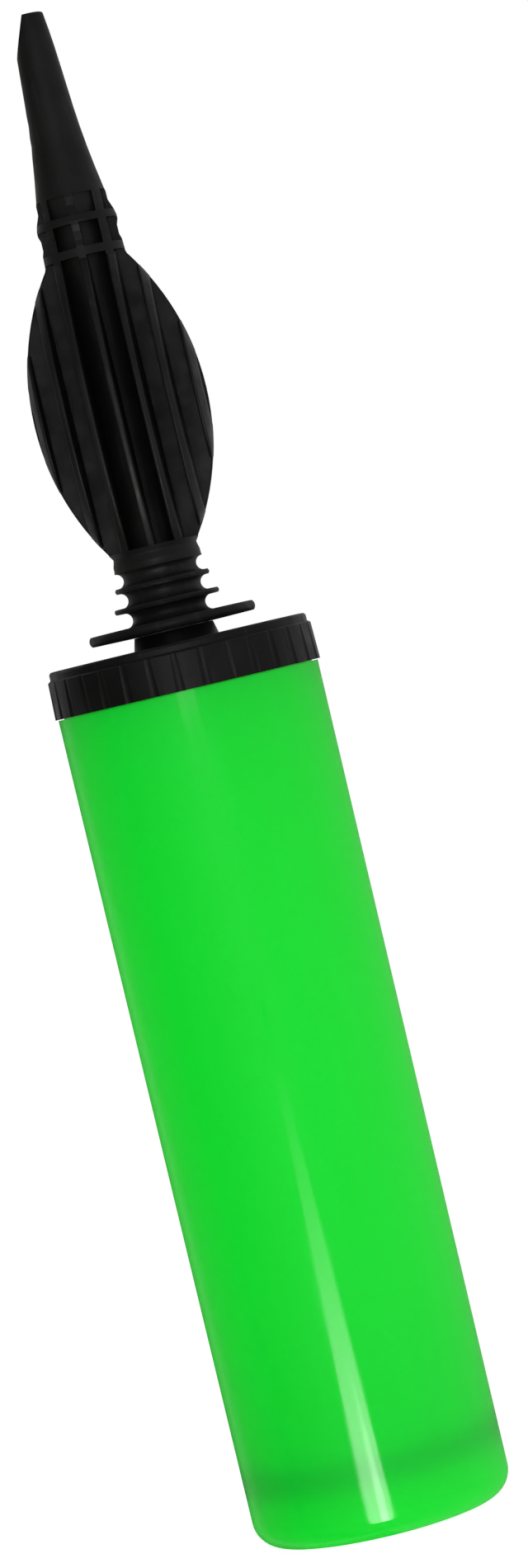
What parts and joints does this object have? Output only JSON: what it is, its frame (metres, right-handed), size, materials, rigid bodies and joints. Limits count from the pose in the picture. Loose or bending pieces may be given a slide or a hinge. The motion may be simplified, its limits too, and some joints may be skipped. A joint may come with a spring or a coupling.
{
  "type": "ball inflation pump",
  "caption": "Double-action hand pump with a translucent green barrel, fluted black screw cap, hollow piston rod and a ribbed black handle that ends in a tapered air nozzle.",
  "frame": {"origin": "centre of the barrel's round base, on the surface that the pump stands on", "axes": "+Z along the pump's axis, from the base up to the nozzle; the grip's parallel ribs are flat plates square to X, so its open faces look along +Y and -Y"},
  "size_m": [0.0502, 0.0502, 0.2857],
  "materials": {
    "green_barrel": "glossy translucent green moulding",
    "black_cap": "satin black moulding with a fluted rim",
    "black_handle": "satin black moulding",
    "natural_plastic": "natural white moulding, smooth on the rod",
    "black_rubber": "smooth greased rubber",
    "grey_rubber": "matt grey rubber",
    "zinc_steel": "bright zinc plate"
  },
  "bodies": {
    "barrel_unit": {"barrel": "green_barrel", "screw_cap": "black_cap", "cap_gasket": "black_rubber", "valve_retainer": "natural_plastic", "gland_bush": "natural_plastic", "floor_valve_pin": "natural_plastic"},
    "rod_seal_ring": {"rod_seal": "black_rubber"},
    "pump_rod": {"handle": "black_handle", "piston_rod": "natural_plastic", "piston_upper": "natural_plastic", "piston_lower": "natural_plastic", "piston_washer": "zinc_steel", "piston_screw": "zinc_steel", "stroke_bumper": "grey_rubber"},
    "floating_ring": {"piston_oring": "black_rubber"},
    "cap_valve": {"cap_valve_flap": "grey_rubber"},
    "floor_valve": {"floor_valve_disc": "grey_rubber"}
  },
  "joints": [
    {"name": "handle_spin", "type": "hinge", "parent": "barrel_unit", "child": "rod_seal_ring", "pos_m": [0, 0, 0.16285], "axis": [0, 0, 1], "continuous": true},
    {"name": "pump_stroke", "type": "slide", "parent": "rod_seal_ring", "child": "pump_rod", "axis": [0, 0, 1], "range_m": [0, 0.13]},
    {"name": "ring_float", "type": "slide", "parent": "pump_rod", "child": "floating_ring", "axis": [0, 0, 1], "range_m": [-0.0012, 0]},
    {"name": "cap_valve_lift", "type": "slide", "parent": "barrel_unit", "child": "cap_valve", "axis": [0, 0, 1], "range_m": [0, 0.001]},
    {"name": "floor_valve_lift", "type": "slide", "parent": "barrel_unit", "child": "floor_valve", "axis": [0, 0, 1], "range_m": [0, 0.001]}
  ]
}
